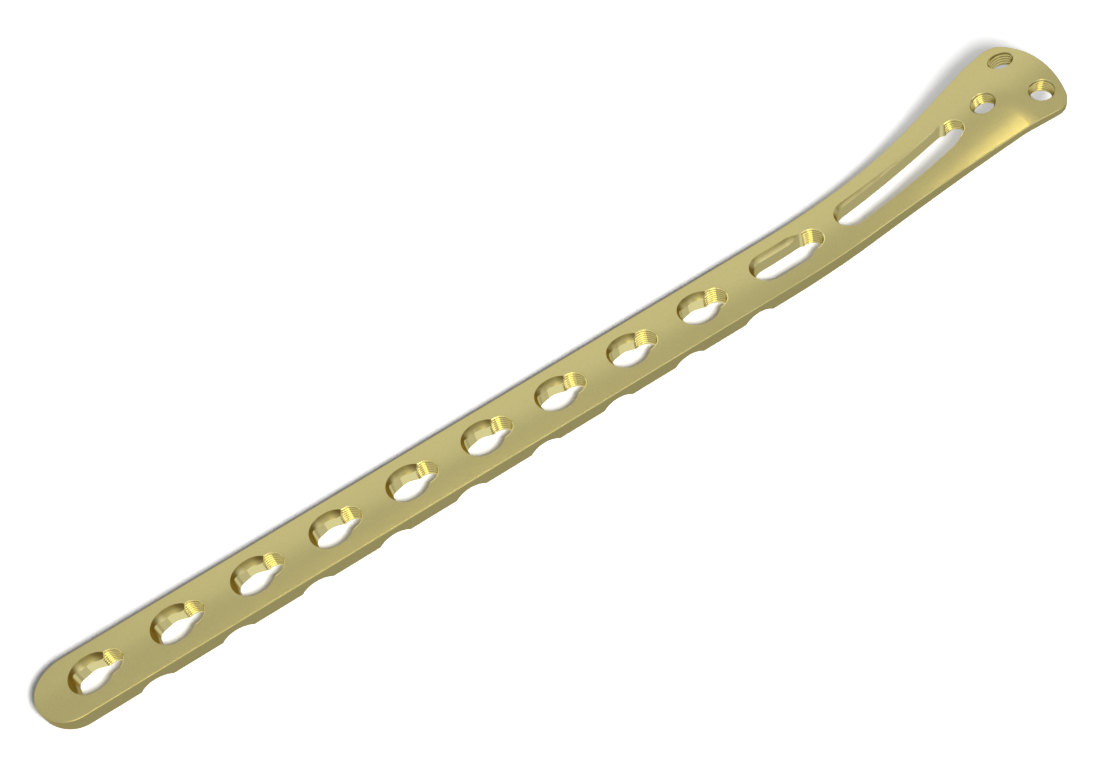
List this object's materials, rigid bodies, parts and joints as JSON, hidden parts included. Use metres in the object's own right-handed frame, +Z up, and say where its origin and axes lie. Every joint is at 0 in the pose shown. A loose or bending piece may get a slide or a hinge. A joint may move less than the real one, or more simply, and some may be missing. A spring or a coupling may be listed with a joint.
{
  "type": "orthopedic bone plate",
  "caption": "Straight locking bone plate with a row of combination screw holes, two slots and a flared, upswept head with threaded holes.",
  "frame": {"origin": "middle of the plate's length and width, on the shaft's flat underside", "axes": "+X along the shaft towards the head, +Y to the plate's left, +Z up out of the crowned top"},
  "size_m": [0.179, 0.018, 0.0129],
  "materials": {
    "titanium": "satin, gold anodised titanium"
  },
  "bodies": {
    "root": {"plate": "titanium"}
  },
  "joints": []
}
